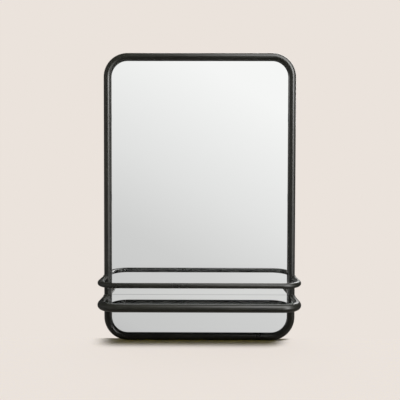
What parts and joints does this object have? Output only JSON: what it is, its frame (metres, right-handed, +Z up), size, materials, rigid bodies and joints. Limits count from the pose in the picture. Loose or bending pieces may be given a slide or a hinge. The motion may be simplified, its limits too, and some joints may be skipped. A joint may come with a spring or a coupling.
{
  "type": "mirror with shelf",
  "caption": "Upright wall mirror in a closed round tube frame with rounded corners, carrying a mirrored shelf in a tube ring and a thinner guard rail above it.",
  "frame": {"origin": "midway between the two keyhole entry holes, on the back face of the hanger plates", "axes": "+Z up, +Y towards the wall, the mirror and the shelf face -Y"},
  "size_m": [0.504, 0.1285, 0.75],
  "materials": {
    "frame_paint": "satin black powder coat",
    "tab_paint": "satin black powder coat",
    "mirror": "silvered",
    "board": "raw fibreboard",
    "tape": "foam",
    "screw": "zinc plated",
    "bumper": "matt",
    "pad": "clear silicone"
  },
  "bodies": {
    "root": {"frame_tube": "frame_paint", "mirror_glass": "mirror", "backing_board": "board", "tape_strip_1": "tape", "tape_strip_2": "tape", "tape_strip_3": "tape", "tape_strip_4": "tape", "tape_strip_5": "tape", "retaining_tab_1": "tab_paint", "retaining_tab_2": "tab_paint", "retaining_tab_3": "tab_paint", "retaining_tab_4": "tab_paint", "retaining_tab_5": "tab_paint", "retaining_tab_6": "tab_paint", "retaining_tab_7": "tab_paint", "retaining_tab_8": "tab_paint", "retaining_tab_9": "tab_paint", "board_screws": "screw", "hanger_plate_left": "tab_paint", "hanger_plate_right": "tab_paint", "wall_bumper_1": "bumper", "wall_bumper_2": "bumper", "wall_bumper_3": "bumper", "wall_bumper_4": "bumper", "guard_rail": "frame_paint", "shelf_ring": "frame_paint", "shelf_glass": "mirror", "shelf_rest_1": "tab_paint", "shelf_rest_2": "tab_paint", "shelf_rest_3": "tab_paint", "shelf_rest_4": "tab_paint", "shelf_rest_5": "tab_paint", "shelf_rest_6": "tab_paint", "shelf_pad_1": "pad", "shelf_pad_2": "pad", "shelf_pad_3": "pad", "shelf_pad_4": "pad", "shelf_pad_5": "pad", "shelf_pad_6": "pad"}
  },
  "joints": []
}
